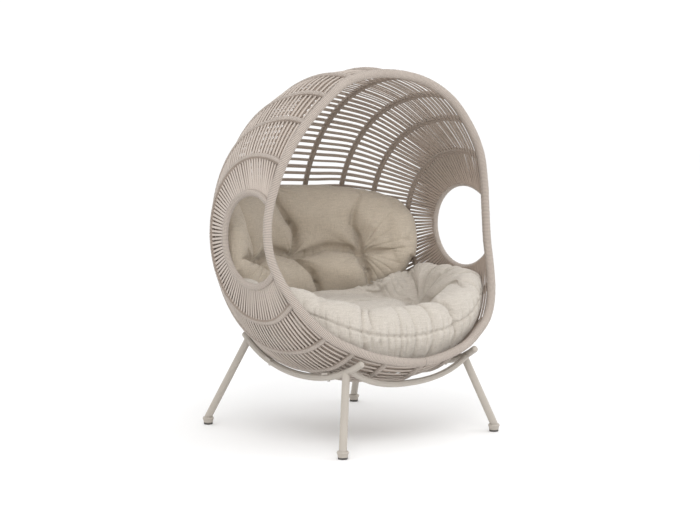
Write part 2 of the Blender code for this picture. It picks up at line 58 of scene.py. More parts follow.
shell = {"centerY": -0.1405, "centerZ": 0.801, "radius": 0.644, "halfWidth": 0.668, "widthPower": 2.241,
         "radiusPower": 1.188, "flattening": 0.075, "ease": math.radians(32)}
ribs = {"x": (0.0, 0.176, 0.317, 0.422, 0.520), "radius": 0.0122, "inset": 0.0065, "pitch": 0.0056,
        "across": 0.86, "deep": 1.06}
ring = {"x": 0.552, "r": 0.177, "wrap": 0.0128, "pitch": 0.0056}
rim = {"wrap": 0.0172, "pitch": 0.0060, "lowStart": 7,
       "half": ((0.000, -0.2725, 1.425), (0.182, -0.2775, 1.401), (0.312, -0.2985, 1.332),
                (0.423, -0.2925, 1.228), (0.501, -0.2815, 1.114), (0.546, -0.2625, 0.991),
                (0.567, -0.2515, 0.866), (0.565, -0.2635, 0.749), (0.541, -0.3055, 0.645),
                (0.497, -0.3585, 0.550), (0.433, -0.4065, 0.469), (0.352, -0.4395, 0.413),
                (0.211, -0.4785, 0.356), (0.000, -0.4915, 0.324))}
strip = {"count": 82, "width": 0.0094, "thickness": 0.0052, "outer": 0.0026, "inner": 0.0116,
         "shift": 0.00044, "uneven": 0.05, "plait": 0.006}
rimSteps = 24                                                 # points per span of the rim


# Radius of the upright slice at x: (1 - share ^ widthPower) ^ (1 / radiusPower) of the largest one.
def sliceRadius(x):
    share = np.clip(np.abs(x) / shell["halfWidth"], 0, 0.9999)
    return shell["radius"] * (1 - share ** shell["widthPower"]) ** (1 / shell["radiusPower"])


# How fast that radius changes with x, from the radii a step to each side.
def sliceSlope(x):
    step = 0.001
    return float(sliceRadius(x + step) - sliceRadius(x - step)) / (2 * step)


# One Catmull-Rom span: a cubic in t from here to after, whose slopes come from the knots on each side.
def spanCurve(before, here, after, beyond, t):
    return 0.5 * (2 * here + (after - before) * t + (2 * before - 5 * here + 4 * after - beyond) * t ** 2
                  + (3 * here - before - 3 * after + beyond) * t ** 3)


# A smooth closed curve through knots, perSpan points to a span.
def smoothClosed(knots, perSpan):
    knots = np.array(knots)
    t = np.linspace(0, 1, perSpan, endpoint=False)[None, :, None]
    return spanCurve(*(np.roll(knots, 1 - k, axis=0)[:, None, :] for k in range(4)), t).reshape(-1, 3)


# The whole rim: the right half, then its mirror image, as one smooth loop.
def rimLoop(perSpan):
    half = list(rim["half"])
    return smoothClosed(half + [(-x, y, z) for x, y, z in half[-2:0:-1]], perSpan)


fineRim = rimLoop(rimSteps)
lowKnot, lastKnot = rim["lowStart"] * rimSteps, (len(rim["half"]) - 1) * rimSteps
upperRim = fineRim[:lowKnot + 1]
lowerRim = fineRim[lowKnot:lastKnot + 1][::-1]


# How far along a half of the rim it reaches x, from 0 to 1.
def placeOnRim(half, x):
    reach = np.maximum.accumulate(half[:, 0])
    return float(np.interp(x, reach, np.arange(len(half)))) / (len(half) - 1)


# Point at a fraction of the way along a half of the rim.
def rimPoint(half, fraction):
    where = fraction * (len(half) - 1)
    return np.array([np.interp(where, np.arange(len(half)), half[:, k]) for k in range(3)])


# How far along each half the rim is as far from the shell's axis as the side ring.
def ringPlaces():
    out = []
    for half in (upperRim, lowerRim):
        radius = np.hypot(half[:, 1] - shell["centerY"], half[:, 2] - shell["centerZ"])
        out.append(int(np.argmin(np.abs(radius - ring["r"]))) / (len(half) - 1))
    return out


# Falls from 1 at the rim to 0 at the ease angle, as 1 - (3 t^2 - 2 t^3).
def easeWeight(distance):
    t = np.clip(distance / shell["ease"], 0, 1)
    return 1 - t * t * (3 - 2 * t)


# Points of one upright slice at the given shares of its length, rim top to rim bottom.
def slicePath(x, radius, ends, share):
    dy = np.array([end[1] - shell["centerY"] for end in ends])
    dz = np.array([end[2] - shell["centerZ"] for end in ends])
    first, last = np.arctan2(dz, dy)
    a = first + (last - first) * share
    top, low = easeWeight(first - a), easeWeight(a - last)
    firstR, lastR = np.hypot(dy, dz)
    r = radius + (firstR - radius) * top + (lastR - radius) * low
    px = x + (ends[0][0] - x) * top + (ends[1][0] - x) * low
    height = r * np.sin(a)
    sunk = shell["flattening"] * (np.abs(height) / shell["radius"]) ** 6 * (1 - low)
    pulled = np.where(height < 0, sunk, 0)
    return np.column_stack((px, shell["centerY"] + r * np.cos(a), shell["centerZ"] + height + pulled))


# Where a slice at x meets the rim above and below.
def ribEnds(x):
    return [rimPoint(half, placeOnRim(half, x)) for half in (upperRim, lowerRim)]


# Where a side ring meets the rim above and below.
def ringEnds():
    return [rimPoint(half, f) for half, f in zip((upperRim, lowerRim), ringPlaces())]


# A mesh object from whole arrays of points and faces.
def newMesh(name, points, faces, mat, uv=None):
    mesh = bpy.data.meshes.new(name)
    points, faces = np.asarray(points, dtype=np.float32), np.asarray(faces, dtype=np.int32)
    count, corners = len(faces), faces.shape[1]
    mesh.vertices.add(len(points))
    mesh.vertices.foreach_set("co", points.ravel())
    mesh.loops.add(count * corners)
    mesh.loops.foreach_set("vertex_index", faces.ravel())
    mesh.polygons.add(count)
    mesh.polygons.foreach_set("loop_start", np.arange(0, count * corners, corners, dtype=np.int32))
    mesh.polygons.foreach_set("use_smooth", np.full(count, True))
    mesh.update(calc_edges=True)
    if uv is not None:
        layer = mesh.uv_layers.new(name="UVMap")
        layer.data.foreach_set("uv", np.asarray(uv, dtype=np.float32).ravel())
    mesh.validate()
    mesh.materials.append(mat)
    obj = bpy.data.objects.new(name, mesh)
    bpy.context.scene.collection.objects.link(obj)
    return obj


# Evenly spaced points along a path, with the path's length.
def resample(points, count):
    step = np.linalg.norm(np.diff(points, axis=0), axis=1)
    along = np.concatenate(([0], np.cumsum(step)))
    where = np.linspace(0, along[-1], count)
    return np.column_stack([np.interp(where, along, points[:, k]) for k in range(3)]), along[-1]


# Two directions square to the path and to each other, the first as near as it can be to side.
def framesAlong(path, side):
    tangent = np.gradient(path, axis=0)
    tangent /= np.linalg.norm(tangent, axis=1, keepdims=True)
    first = side - tangent * np.sum(side * tangent, axis=1, keepdims=True)
    first /= np.linalg.norm(first, axis=1, keepdims=True)
    return first, np.cross(tangent, first)


# Faces of a grid of points, closed round its rows or columns where asked.
def gridFaces(rows, columns, wrapRows, wrapColumns):
    i = np.arange(rows if wrapRows else rows - 1)[:, None]
    j = np.arange(columns if wrapColumns else columns - 1)[None, :]
    nextI, nextJ = (i + 1) % rows, (j + 1) % columns
    quads = np.stack((i * columns + j, i * columns + nextJ, nextI * columns + nextJ, nextI * columns + j),
                     axis=-1)
    return quads.reshape(-1, 4)


# UV corners of a tube's grid: u runs from 0 to turns along it and v from 0 to 1 round it.
def gridUv(rows, columns, turns):
    i = np.arange(rows - 1)[:, None]
    j = np.arange(columns)[None, :]
    u0, u1 = i / rows * turns + 0 * j, (i + 1) / rows * turns + 0 * j
    v0, v1 = j / columns + 0 * i, (j + 1) / columns + 0 * i
    corners = np.stack((u0, v0, u0, v1, u1, v1, u1, v0), axis=-1)
    return corners.reshape(-1, 4, 2)


winding = {"groove": -0.0020, "ridge": 0.0022, "wobble": 0.00022, "perTurn": 4}   # on rim, rings and ribs


# Number of points along a path that gives whole turns of rope: its length over the pitch, rounded.
def windingPoints(points, pitch):
    return int(round(resample(points, 400)[1] / pitch)) * winding["perTurn"]


# A bar with rope wound tightly round it: an ellipse carried along the path, swollen by the root of
# |cos(phase / 2)|, where the phase is the turns along the path plus the angle round it, so turns slant.
def wrappedTube(name, points, radius, pitch, side, depth=None, sides=12, paintedShadeInnerHalf=False):
    perTurn = winding["perTurn"]
    path = resample(points, windingPoints(points, pitch))[0]
    depth = depth or radius
    first, second = framesAlong(path, side)
    angle = np.arange(sides) / sides * 2 * math.pi
    phase = np.arange(len(path))[:, None] / perTurn * 2 * math.pi + angle[None, :]
    ridge = np.sqrt(np.abs(np.cos(phase / 2)))                  # round turns with sharp grooves
    seed = sum(ord(letter) for letter in name)
    wobble = np.random.default_rng(seed).normal(0, winding["wobble"], (len(path) // perTurn + 1))
    turnWobble = np.repeat(wobble, perTurn)[:len(path)][:, None]
    swell = winding["groove"] + winding["ridge"] * ridge + turnWobble
    across = (radius + swell) * np.cos(angle)
    outward = (depth + swell) * np.sin(angle)
    skin = path[:, None, :] + first[:, None, :] * across[..., None] + second[:, None, :] * outward[..., None]
    faces = gridFaces(len(path), sides, False, True)
    uv = gridUv(len(path), sides, len(path) / perTurn)
    if paintedShadeInnerHalf:
        uv[..., 1] += 2.0 * (uv[..., 1].mean(axis=1, keepdims=True) < 0.5)   # gives the inner half painted shade
    return newMesh(name, skin.reshape(-1, 3), faces, wrapRope, uv)


# A node socket that can be added to, subtracted from and multiplied, from either side.
class Socket:
    def __init__(self, tree, socket):
        self.tree = tree
        self.socket = socket

    def node(self, kind, inputs=(), output=0, **settings):
        made = self.tree.nodes.new(kind)
        for key, value in settings.items():
            setattr(made, key, value)
        for key, value in dict(inputs).items():
            feed(made.inputs[key], value)
        return Socket(self.tree, made.outputs[output])

    def math(self, operation, first, second=0.5):
        return self.node("ShaderNodeMath", {0: first, 1: second}, operation=operation)

    def __add__(self, other):
        return self.math("ADD", self, other)

    def __sub__(self, other):
        return self.math("SUBTRACT", self, other)

    def __mul__(self, other):
        return self.math("MULTIPLY", self, other)

    def __radd__(self, other):
        return self.math("ADD", other, self)

    def __rsub__(self, other):
        return self.math("SUBTRACT", other, self)

    def __rmul__(self, other):
        return self.math("MULTIPLY", other, self)


# Links a socket to an input, or sets the input's own value.
def feed(target, value):
    if isinstance(value, Socket):
        value.tree.links.new(value.socket, target)
    else:
        target.default_value = value


# A new material, its shader's inputs and its Object coordinates.
def newMaterial(name, colour, roughness, metallic=0.0):
    mat = bpy.data.materials.new(name)
    mat.use_nodes = True
    shader = mat.node_tree.nodes["Principled BSDF"].inputs
    shader["Base Color"].default_value = (*colour, 1)
    shader["Roughness"].default_value = roughness
    shader["Metallic"].default_value = metallic
    coords = mat.node_tree.nodes.new("ShaderNodeTexCoord")
    return mat, shader, Socket(mat.node_tree, coords.outputs["Object"])


# Fractal noise from 0 to 1, scale patches to a metre.
def noiseOf(coords, scale, detail=3.0, roughness=0.55):
    return coords.node("ShaderNodeTexNoise", {"Vector": coords, "Scale": scale, "Detail": detail,
                                              "Roughness": roughness})


# Coordinates multiplied by a scale for each axis.
def stretched(coords, scale):
    return coords.node("ShaderNodeMapping", {"Vector": coords, "Scale": scale})


# The x, y and z of a vector.
def axesOf(vector):
    return [vector.node("ShaderNodeSeparateXYZ", {0: vector}, k) for k in range(3)]


# Colour between first and second: first where the factor is 0, second where it is 1.
def mixSockets(factor, first, second):
    return factor.node("ShaderNodeMix", {0: factor, 6: first, 7: second}, 2, data_type="RGBA")


def mixColour(factor, first, second):
    return mixSockets(factor, (*first, 1), (*second, 1))


# Rises straight from 0 at low to 1 at high.
def ramp(value, low, high):
    return value.node("ShaderNodeMapRange", {"Value": value, "From Min": low, "From Max": high})


def sine(value):
    return value.math("SINE", value)


# Feeds a height to the shader's normal.
def bump(shader, height, distance, strength=1.0):
    feed(shader["Normal"], height.node("ShaderNodeBump", {"Height": height, "Distance": distance,
                                                          "Strength": strength}))


# deep is painted shade for the grooves between wound turns
ropeLook = {"pale": (0.60, 0.525, 0.465), "dark": (0.42, 0.36, 0.312), "deep": (0.16, 0.125, 0.10),
            "rough": 0.82, "paintedInsideShade": (0.70, 0.65, 0.61)}


# Painted shade for the rope on the inside of the shell, in a browner tone: the colour times the inside shade
# factor.
def shadeOf(colour):
    return tuple(c * t for c, t in zip(colour, ropeLook["paintedInsideShade"]))


# Braided sheath: two sets of slanting plaits that cross, with painted shade in the grooves between wound
# turns.
def ropeMaterial(name, along, across, lift, groove):
    mat, shader, coords = newMaterial(name, ropeLook["pale"], ropeLook["rough"])
    uv = coords.node("ShaderNodeTexCoord", output="UV")
    u, v = axesOf(uv)[:2]
    left, right = sine(u * along + v * across), sine(u * along - v * across)
    plait = left.math("MAXIMUM", left, right)
    patch = noiseOf(coords, 9.0, 2.0)
    fleck = noiseOf(coords, 900.0, 2.0)
    shade = ramp(plait, -0.4, 1.0) * 0.40 + patch * 0.35 + fleck * 0.30
    pale = tuple(min(1, c * lift) for c in ropeLook["pale"])
    dark = tuple(c * lift for c in ropeLook["dark"])
    inside = ramp(v, 1.2, 1.6)                                 # v above 1.4 marks rope inside the shell, which gets painted shade
    # rope inside the shell takes the darker, browner painted-shade copies of its colours
    colour = mixSockets(inside, mixColour(shade, dark, pale), mixColour(shade, shadeOf(dark), shadeOf(pale)))
    if groove:
        turn = u + v
        gap = turn.math("ABSOLUTE", sine(turn * math.pi))      # 0 in the groove between two turns
        # painted shade: the groove between two turns is darkened to the deep colour
        colour = mixSockets(ramp(gap, 0.08, 0.62), (*ropeLook["deep"], 1), colour)
    feed(shader["Base Color"], colour)
    feed(shader["Roughness"], 0.70 + 0.2 * fleck)
    shader["Sheen Weight"].default_value = 0.12
    shader["Sheen Roughness"].default_value = 0.5
    bump(shader, plait * 0.6 + fleck * 0.5, 0.0006)
    return mat


# Powder coat: a fine grain in the bump and gloss, and slow clouds in the colour.
def coatMaterial():
    mat, shader, coords = newMaterial("powderCoat", (0.55, 0.495, 0.43), 0.5)
    grain = noiseOf(coords, 1400.0, 2.0)
    cloud = noiseOf(coords, 6.0, 3.0)
    feed(shader["Base Color"], mixColour(cloud, (0.405, 0.365, 0.32), (0.45, 0.41, 0.36)))
    feed(shader["Roughness"], 0.42 + 0.16 * grain + 0.06 * cloud)
    shader["Coat Weight"].default_value = 0.08
    bump(shader, grain, 0.00012, 0.6)
    return mat


# Dark rubber, dusty in patches.
def rubberMaterial():
    mat, shader, coords = newMaterial("rubberPad", (0.09, 0.085, 0.08), 0.8)
    grain = noiseOf(coords, 700.0, 3.0)
    dust = noiseOf(coords, 60.0, 4.0)
    feed(shader["Base Color"], mixColour(dust, (0.06, 0.056, 0.052), (0.14, 0.13, 0.12)))
    feed(shader["Roughness"], 0.7 + 0.25 * grain)
    bump(shader, grain, 0.0002, 0.7)
    return mat


# Plain steel, duller and brighter by a fine grain.
def boltMaterial():
    mat, shader, coords = newMaterial("boltSteel", (0.6, 0.58, 0.55), 0.35, 0.9)
    grain = noiseOf(coords, 500.0, 2.0)
    feed(shader["Roughness"], 0.25 + 0.25 * grain)
    feed(shader["Base Color"], mixColour(grain, (0.52, 0.50, 0.47), (0.66, 0.64, 0.61)))
    return mat


# Plain weave: a sine along the warp times a sine along the weft, with slubs, mottling and a soft sheen.
def linenMaterial(name, pale, dark):
    mat, shader, coords = newMaterial(name, pale, 0.93)
    x, y, z = axesOf(coords)
    thread = 2 * math.pi / 0.0016
    weave = sine((x + y * 0.45) * thread) * sine((z + y * 0.35) * thread)
    slubs = noiseOf(stretched(coords, (30, 30, 480)), 1.0, 2.0)
    slubAcross = noiseOf(stretched(coords, (420, 420, 35)), 1.0, 2.0)
    melange = noiseOf(coords, 300.0, 3.0, 0.75)
    cloud = noiseOf(coords, 7.0, 3.0)
    tone = (melange * 0.5 + slubs * 0.4 + slubAcross * 0.4) - 0.1 + (cloud - 0.5) * 0.15
    feed(shader["Base Color"], mixColour(ramp(tone, 0.35, 0.75), dark, pale))
    feed(shader["Roughness"], 0.86 + 0.12 * melange)
    shader["Sheen Weight"].default_value = 0.25
    shader["Sheen Roughness"].default_value = 0.45
    bump(shader, weave * 0.4 + slubs * 0.8 + slubAcross * 0.8 + melange * 0.7, 0.0007, 0.8)
    return mat


wrapRope = ropeMaterial("wrapRope", 6 * math.pi, 60 * math.pi, 1.10, True)
stripRope = ropeMaterial("stripRope", 2 * math.pi, 6 * math.pi, 1.0, False)
coat = coatMaterial()
rubber = rubberMaterial()
bolt = boltMaterial()
seatLinen = linenMaterial("seatLinen", (0.665, 0.615, 0.55), (0.45, 0.405, 0.35))
backLinen = linenMaterial("backLinen", (0.66, 0.575, 0.465), (0.42, 0.36, 0.285))
slots = {"powder_coat": coat, "rubber_pad": rubber, "bolt_steel": bolt, "wrap_rope": wrapRope}
for entry in frame["record"]["subparts"]:
    look = slots.get(entry["material_slot"])
    if look:
        cadPart = frame["nodes"][entry["node"]]
        cadPart.data.materials.clear()
        cadPart.data.materials.append(look)
print("materials done")


# Says which body a piece moves with, and hides the nodes it stands for.
def place(piece, body, nodes):
    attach(piece, body)
    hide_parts(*nodes)


# Rope round the rim's two halves, with each section turned to face the middle of the opening.
def makeRimWraps():
    perSpan = 16
    loop = rimLoop(perSpan)
    half = (len(rim["half"]) - 1) * perSpan
    middle = np.array((0.0, 0.0, shell["centerZ"]))
    for sign, word in ((1, "right"), (-1, "left")):
        run = loop[:half + 1] * (sign, 1, 1)
        side = resample(run, windingPoints(run, rim["pitch"]))[0] - middle
        side[:, 1] = 0
        piece = wrappedTube("rimRope_" + word, run, rim["wrap"], rim["pitch"], side, sides=14)
        place(piece, "frame", ["rim_wrap_" + word])


# The X direction at every point of a wound path.
def tubeSide(points, pitch):
    return np.tile((1.0, 0.0, 0.0), (windingPoints(points, pitch), 1))


# Each rib follows its slice of the shell, moved in along the shell's own slope by the inset.
def makeRibs():
    share = np.linspace(0, 1, 160)
    for number, x in enumerate(ribs["x"]):
        slope = sliceSlope(x) if x else 0.0
        reach = ribs["inset"] / math.hypot(1, slope)
        middle = x + reach * slope
        path = slicePath(middle, float(sliceRadius(x)) - reach, ribEnds(middle), share)
        for sign, word in ((1, "right"), (-1, "left")):
            if number == 0 and sign < 0:
                continue
            node = "rib_center" if number == 0 else "rib_%s_%d" % (word, number)
            run = path * (sign, 1, 1)
            # The half of each rib's rope facing into the shell gets painted shade.
            piece = wrappedTube(node.replace("rib", "ribRope"), run, ribs["radius"] * ribs["across"],
                                ribs["pitch"], tubeSide(run, ribs["pitch"]),
                                depth=ribs["radius"] * ribs["deep"], paintedShadeInnerHalf=True)
            place(piece, "frame", [node])


# Rope round each side opening, from rim to rim.
def makeRings():
    path = slicePath(ring["x"], ring["r"], ringEnds(), np.linspace(0, 1, 160))
    for sign, word in ((1, "right"), (-1, "left")):
        run = path * (sign, 1, 1)
        side = tubeSide(run, ring["pitch"])
        piece = wrappedTube("ringRope_" + word, run, ring["wrap"], ring["pitch"], side)
        place(piece, "frame", ["side_ring_wrap_" + word])


# Evenly spaced slices across one bay, as (x, radius, rim ends); the last bay narrows to the side ring.
def bayColumns(number, count):
    inner = ribs["x"][number - 1]
    if number < len(ribs["x"]):
        xs = np.linspace(inner, ribs["x"][number], count)
        return [(x, float(sliceRadius(x)), ribEnds(x)) for x in xs]
    innerRadius = float(sliceRadius(inner))
    halves = (upperRim, lowerRim)
    starts = [placeOnRim(half, inner) for half in halves]
    columns = []
    for t in np.linspace(0, 1, count):
        ends = [rimPoint(half, a + (b - a) * t) for half, a, b in zip(halves, starts, ringPlaces())]
        columns.append((inner + (ring["x"] - inner) * t, innerRadius + (ring["r"] - innerRadius) * t, ends))
    return columns


profileAngle = np.arange(8) / 8 * 2 * math.pi + math.pi / 8
stripProfile = np.column_stack((np.sign(np.cos(profileAngle)) * np.abs(np.cos(profileAngle)) ** 0.7,
                                np.sin(profileAngle)))       # a flattened round, for a braided cord


# Both layers of rope in one bay: a flattened round is carried along each strip from rib to rib, with
# the strips spread evenly down the slices and each shifted and widened a little at random.
def makeStrips(number, sign, word, rng):
    steps = 7
    count = strip["count"]
    share = (np.arange(count) + 0.5) / count
    shift = rng.normal(0, strip["shift"], (2, count))
    allPoints, allFaces, allUv = [], [], []
    base = 0
    for layer, inset in enumerate((strip["outer"], strip["inner"])):
        where = np.clip(share + shift[layer], 0.004, 0.996)
        columns = bayColumns(number, steps)
        surface = np.stack([slicePath(x, r, ends, where) for x, r, ends in columns], axis=1)
        along = np.gradient(surface, axis=1)
        along /= np.linalg.norm(along, axis=2, keepdims=True)
        across = np.gradient(surface, axis=0)
        across -= along * np.sum(across * along, axis=2, keepdims=True)
        across /= np.linalg.norm(across, axis=2, keepdims=True)
        normal = np.cross(along, across)
        middle = surface - normal * inset
        halfWidth = strip["width"] / 2 * (1 + rng.normal(0, strip["uneven"], (len(surface), 1, 1)))
        lift = (stripProfile[:, 1] * strip["thickness"] / 2)[None, None, :, None]
        points = (middle[:, :, None, :]
                  + across[:, :, None, :] * (stripProfile[:, 0] * halfWidth)[..., None]
                  + normal[:, :, None, :] * lift)
        sides = len(stripProfile)
        one = gridFaces(steps, sides, False, True)
        faces = (one[None] + (np.arange(count) * steps * sides)[:, None, None]).reshape(-1, 4) + base
        length = float(np.linalg.norm(np.diff(surface[count // 2], axis=0), axis=1).sum())
        uv = np.tile(gridUv(steps, sides, length / strip["plait"]), (count, 1, 1))
        uv[..., 1] += 2.0 * (inset == strip["inner"])              # the inner layer takes the painted inside shade
        if sign < 0:
            faces = faces[:, ::-1]
            uv = uv[:, ::-1]
        allPoints.append(points.reshape(-1, 3))
        allFaces.append(faces)
        allUv.append(uv)
        base += count * steps * sides
    points = np.vstack(allPoints) * (sign, 1, 1)
    piece = newMesh("ropes_%s_%d" % (word, number), points, np.vstack(allFaces), stripRope, np.vstack(allUv))
    place(piece, "frame", ["weave_%s_%d" % (word, number)])


def makeWeave():
    rng = np.random.default_rng(11)
    for number in range(1, len(ribs["x"]) + 1):
        for sign, word in ((1, "right"), (-1, "left")):
            makeStrips(number, sign, word, rng)


makeRimWraps()
makeRibs()
makeRings()
makeWeave()
print("rope done")


eye = np.array((0.0, -0.055, 0.800))                          # both cushions are drawn from this point
hollow = {"inset": 0.024, "sideX": 0.566, "sideFall": 0.463, "sideLeast": 0.50, "rimTop": 0.866,
          "rimHeight": 0.542, "rimY": -0.2545, "rimRun": 0.24, "rimGap": 0.010, "pull": 0.054,
          "pullFrom": 0.07, "pullTo": 2.2, "pullHalfWidth": 0.45, "lowInset": 1.2}
splitLow, splitSide, splitGap = -46.0, -17.0, 0.6


# True where a point lies inside the shell by the inset: nearer its axis than the slice's radius, inside
# the side rings' faces and behind the rim.
def insideShell(p, inset):
    x, y, z = np.abs(p[..., 0]), p[..., 1], p[..., 2]
    depth = np.abs(z - shell["centerZ"])
    for _ in range(14):
        pulled = np.where(z < shell["centerZ"], shell["flattening"] * (depth / shell["radius"]) ** 6, 0)
        depth = np.minimum(np.abs(z - shell["centerZ"]) + pulled, shell["radius"])
    away = np.hypot(y - shell["centerY"], depth)
    sliceR = sliceRadius(x)
    sideX = hollow["sideX"] - hollow["sideFall"] * away ** 2
    drop = np.clip((hollow["rimTop"] - z) / hollow["rimHeight"], 0, 1)
    rimY = hollow["rimY"] - hollow["rimRun"] * drop ** 1.5
    forward = np.arctan2(shell["centerY"] - y, shell["centerZ"] - z)
    pull = hollow["pull"] * (1 - easeWeight(np.clip(forward - hollow["pullFrom"], 0, shell["ease"])))
    pull = np.where(forward < hollow["pullTo"], pull, 0)
    sliceR = sliceR - pull * np.clip(1 - (x / hollow["pullHalfWidth"]) ** 2, 0, 1)
    low = z < shell["centerZ"]
    inset = inset * (1 + np.where(low, hollow["lowInset"] * (depth / shell["radius"]) ** 6, 0))
    inSides = x < np.maximum(sideX, hollow["sideLeast"]) - inset
    return (away < sliceR - inset) & inSides & (y > rimY + hollow["rimGap"])


# Distance from the eye to the shell in each direction, found by halving.
def wallDistance(directions, inset):
    near = np.zeros(directions.shape[:-1])
    far = np.full_like(near, 0.9)
    for _ in range(22):
        middle = (near + far) / 2
        inside = insideShell(eye + directions * middle[..., None], inset)
        near = np.where(inside, middle, near)
        far = np.where(inside, far, middle)
    return near


# Unit vectors from azimuth and elevation in degrees.
def directionsFrom(azimuth, elevation):
    a, e = np.radians(azimuth), np.radians(elevation)
    return np.stack((np.sin(a) * np.cos(e), np.cos(a) * np.cos(e), np.sin(e)), axis=-1)


# Elevation of the line between the cushions: it rises from low to side by the fifth power of the share.
def splitElevation(azimuth):
    share = np.clip(np.abs(azimuth) / 74, 0, 1)
    return splitLow + (splitSide - splitLow) * share ** 5


# Merges points that meet, drops edges of no length where asked, and turns every face outwards.
def weld(piece, shortest=0.0):
    bm = bmesh.new()
    bm.from_mesh(piece.data)
    bmesh.ops.remove_doubles(bm, verts=bm.verts, dist=0.0004)
    if shortest:
        bmesh.ops.dissolve_degenerate(bm, dist=shortest, edges=bm.edges)
    bmesh.ops.recalc_face_normals(bm, faces=bm.faces)
    bm.to_mesh(piece.data)
    bm.free()
    return piece


# A closed pad from the grids of its outer and inner sides, which meet along their edges.
def padObject(name, outer, inner, mat):
    rows, columns = outer.shape[:2]
    one = gridFaces(rows, columns, False, False)
    faces = np.vstack((one, one[:, ::-1] + rows * columns))
    piece = newMesh(name, np.vstack((outer.reshape(-1, 3), inner.reshape(-1, 3))), faces, mat)
    return weld(piece, 0.0002)


# Replaces the mesh by what its modifiers make of it.
def applyModifiers(piece):
    graph = bpy.context.evaluated_depsgraph_get()
    graph.update()
    mesh = bpy.data.meshes.new_from_object(piece.evaluated_get(graph))
    piece.modifiers.clear()
    piece.data = mesh


def remesh(piece, voxel):
    grid = piece.modifiers.new("voxels", "REMESH")
    grid.mode = "VOXEL"
    grid.voxel_size = voxel
    grid.use_smooth_shade = True
    applyModifiers(piece)


def getPoints(piece):
    points = np.empty(len(piece.data.vertices) * 3, dtype=np.float32)
    piece.data.vertices.foreach_get("co", points)
    return points.reshape(-1, 3)


def setPoints(piece, points):
    piece.data.vertices.foreach_set("co", np.asarray(points, dtype=np.float32).ravel())
    piece.data.update()


def getNormals(piece):
    normals = np.empty(len(piece.data.vertices) * 3, dtype=np.float32)
    piece.data.vertices.foreach_get("normal", normals)
    return normals.reshape(-1, 3)


fabric = {"quality": 4, "mass": 0.25, "tension_stiffness": 12, "compression_stiffness": 6,
          "bending_stiffness": 0.35, "pin_stiffness": 1.0}
puffFrames = 20
padVoxel = 0.008


# Inflates a pad as cloth with its valleys pinned; no point moves further than cap.
def puff(piece, pressure, cap, pins):
    before = getPoints(piece)
    group = piece.vertex_groups.new(name="pins")
    weight = pins(before)
    for level in (1.0, 0.6, 0.3):
        chosen = np.nonzero((weight >= level) & (weight < level + 0.35))[0].tolist()
        group.add(chosen, level, "REPLACE")
    cloth = piece.modifiers.new("cloth", "CLOTH")
    for setting, value in fabric.items():
        setattr(cloth.settings, setting, value)
    cloth.settings.use_pressure = True
    cloth.settings.uniform_pressure_force = pressure
    cloth.settings.vertex_group_mass = "pins"
    cloth.settings.effector_weights.gravity = 0
    cloth.point_cache.frame_start = 1
    cloth.point_cache.frame_end = puffFrames
    for step in range(1, puffFrames + 1):
        bpy.context.scene.frame_set(step)
    applyModifiers(piece)
    bpy.context.scene.frame_set(1)
    after = getPoints(piece)
    move = after - before
    far = np.linalg.norm(move, axis=1, keepdims=True)
    setPoints(piece, before + move * np.minimum(1, cap / np.maximum(far, 1e-9)))


# Relaxes the mesh, which rounds its edges.
def smooth(piece, factor, times):
    mod = piece.modifiers.new("relax", "SMOOTH")
    mod.factor = factor
    mod.iterations = times
    applyModifiers(piece)


def subdivide(piece):
    mod = piece.modifiers.new("finer", "SUBSURF")
    mod.levels = 1
    mod.render_levels = 1
    applyModifiers(piece)


# Azimuth from +Y towards +X, elevation, and distance from the drawing point.
def toAngles(points):
    rel = points - eye
    far = np.linalg.norm(rel, axis=-1)
    return np.degrees(np.arctan2(rel[..., 0], rel[..., 1])), np.degrees(np.arcsin(rel[..., 2] / far)), far


# Distance in degrees from a crease drawn between two (azimuth, elevation) places, and how far along.
def segment(a, e, start, end):
    da, de = end[0] - start[0], end[1] - start[1]
    t = np.clip(((a - start[0]) * da + (e - start[1]) * de) / (da * da + de * de), 0, 1)
    return np.hypot(a - start[0] - t * da, e - start[1] - t * de), t


backPad = {"halfAngle": 76, "sideElevation": -12, "rise": 31.5, "topPower": 3.2, "thickness": 0.150,
           "lowerExtra": 0.065, "lobe": 0.020, "edgePull": 0.02, "valleyWidth": 5.5, "pressure": 5.0,
           "cap": 0.012, "fill": 0.7}
backTufts = ((-45, -18), (0, -19), (45, -18))                # azimuth and elevation in degrees
backCreases = (                                              # start, end, depths at both ends
    ((-76, -12), (-45, -18), 0.030, 0.062), ((-45, -18), (-22, -14), 0.062, 0.055),
    ((-22, -14), (0, -19), 0.055, 0.062), ((0, -19), (22, -14), 0.062, 0.055),
    ((22, -14), (45, -18), 0.055, 0.062), ((45, -18), (74, -12), 0.045, 0.012),
    ((-45, -18), (-50, 0), 0.062, 0.050), ((-50, 0), (-44, 21), 0.050, 0.040),
    ((0, -19), (4, -2), 0.062, 0.055), ((4, -2), (-6, 21), 0.055, 0.045),
    ((45, -18), (41, -2), 0.060, 0.040), ((41, -2), (45, 8), 0.040, 0.022), ((45, 8), (50, 20), 0.022, 0.014),
    ((0, -19), (13, -30), 0.062, 0.058), ((13, -30), (19, -46), 0.058, 0.050),
    ((45, -18), (55, -30), 0.060, 0.052), ((55, -30), (55, -46), 0.052, 0.045),
    ((-45, -18), (-38, -30), 0.060, 0.050), ((-38, -30), (-34, -46), 0.050, 0.044),
)


# Depth of the valleys: each wall falls ever more steeply towards its crease.
def creaseDepth(a, e, creases, width):
    deep = np.zeros_like(a)
    for start, end, deepStart, deepEnd in creases:
        away, t = segment(a, e, start, end)
        deep = np.maximum(deep, (deepStart + (deepEnd - deepStart) * t) * np.exp(-away / width))
    return deep


# Bends the straight creases a little, so that none looks ruled.
def bent(a, e):
    return a + 2.0 * np.sin(np.radians(e * 9)), e + 1.2 * np.sin(np.radians(a * 7))


# Depth of the tufted valleys at each direction.
def backRelief(a, e):
    return creaseDepth(*bent(a, e), backCreases, backPad["valleyWidth"])


